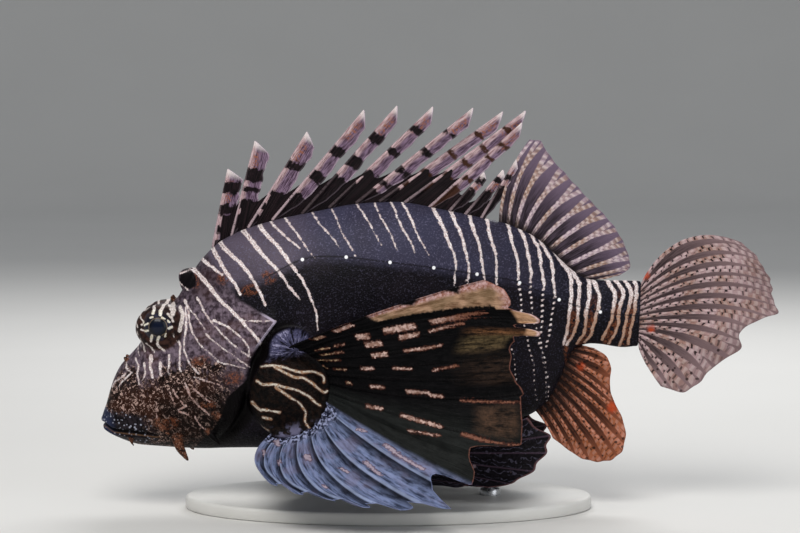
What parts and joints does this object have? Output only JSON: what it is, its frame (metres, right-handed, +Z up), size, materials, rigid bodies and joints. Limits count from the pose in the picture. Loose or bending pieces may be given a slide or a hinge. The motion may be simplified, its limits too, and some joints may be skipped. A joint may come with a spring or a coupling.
{
  "type": "red lionfish display model",
  "caption": "Life-size still model of a red lionfish with spread pectoral fins and free dorsal spines, pitched head down on two rods over an oval base.",
  "frame": {"origin": "centre of the whole model's box at the underside of the stand's base", "axes": "-X towards the snout, +X towards the tail, -Y towards the fish's left side, +Z up"},
  "size_m": [0.3188, 0.1524, 0.1897],
  "materials": {
    "skin_head": "satin, finely bumped skin in brown and purple grey with pinkish white lines",
    "skin_body": "satin blue black scales with thin white bars",
    "eye": "clear gloss over a blue black pupil and a banded iris",
    "fin_pectoral": "satin, near black skin between ridged rays with pale dashes",
    "fin_pelvic": "satin, dark purple black with fine rays",
    "fin_dorsal": "satin, banded dark brown and pinkish white",
    "fin_rear": "satin, lilac skin with beaded pale rays and dark dashes",
    "stand_plate": "smooth satin pale grey",
    "stand_rod": "brushed"
  },
  "bodies": {
    "root": {"head": "skin_head", "trunk": "skin_body", "tail_stem": "skin_body", "eye_left": "eye", "eye_right": "eye", "pectoral_fin_left": "fin_pectoral", "pectoral_fin_right": "fin_pectoral", "pelvic_fin_left": "fin_pelvic", "pelvic_fin_right": "fin_pelvic", "dorsal_fin_spiny": "fin_dorsal", "dorsal_fin_soft": "fin_rear", "anal_fin": "fin_rear", "caudal_fin": "fin_rear", "stand_base": "stand_plate", "stand_rod_front": "stand_rod", "stand_rod_rear": "stand_rod"}
  },
  "joints": []
}
